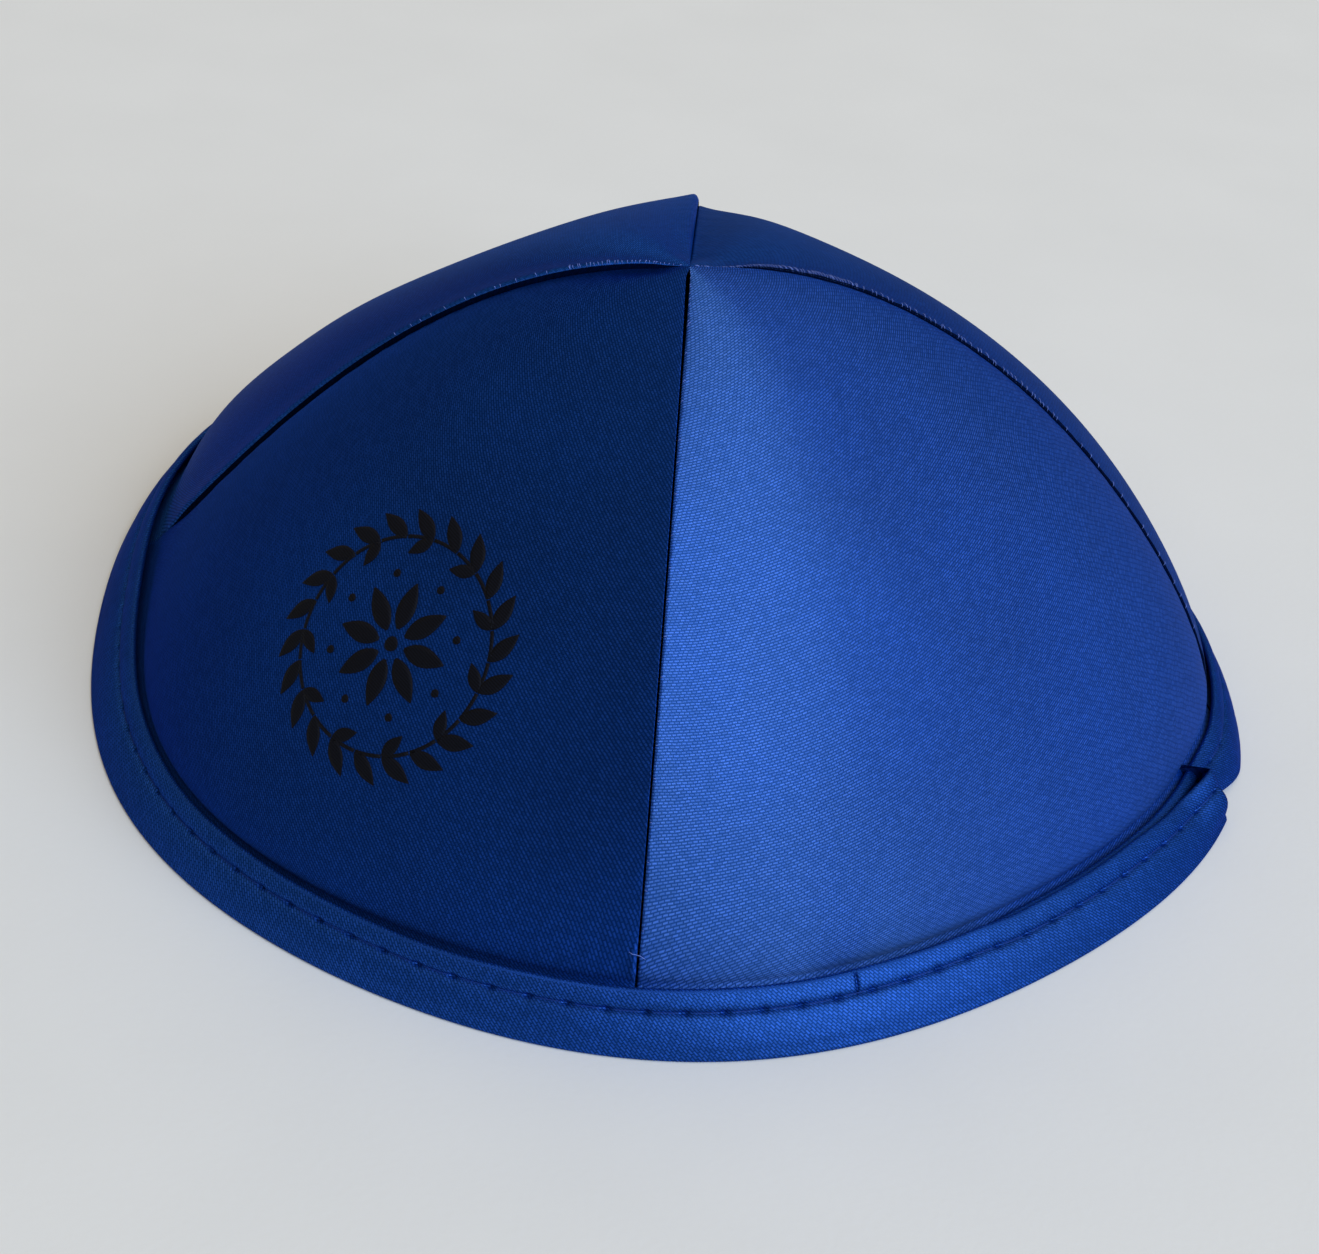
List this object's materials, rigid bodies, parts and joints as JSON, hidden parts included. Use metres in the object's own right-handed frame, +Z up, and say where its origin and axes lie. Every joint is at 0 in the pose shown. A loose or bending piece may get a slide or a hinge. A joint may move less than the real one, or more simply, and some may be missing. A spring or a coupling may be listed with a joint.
{
  "type": "kippah skullcap",
  "caption": "Domed satin skullcap sewn from gore panels, with a folded binding tape lapped around its open rim.",
  "frame": {"origin": "middle of the rim's footprint, on the surface that the cap stands on", "axes": "+Z up through the crown, -Y towards the front seam, +X to the wearer's left of that seam"},
  "size_m": [0.1732, 0.1804, 0.0698],
  "materials": {
    "satin": "royal blue polyester satin, soft sheen",
    "binding": "royal blue satin bias tape, folded and stitched"
  },
  "bodies": {
    "root": {"panel_front_left": "satin", "panel_front_right": "satin", "panel_back_left": "satin", "panel_back_right": "satin", "rim_binding": "binding"}
  },
  "joints": []
}
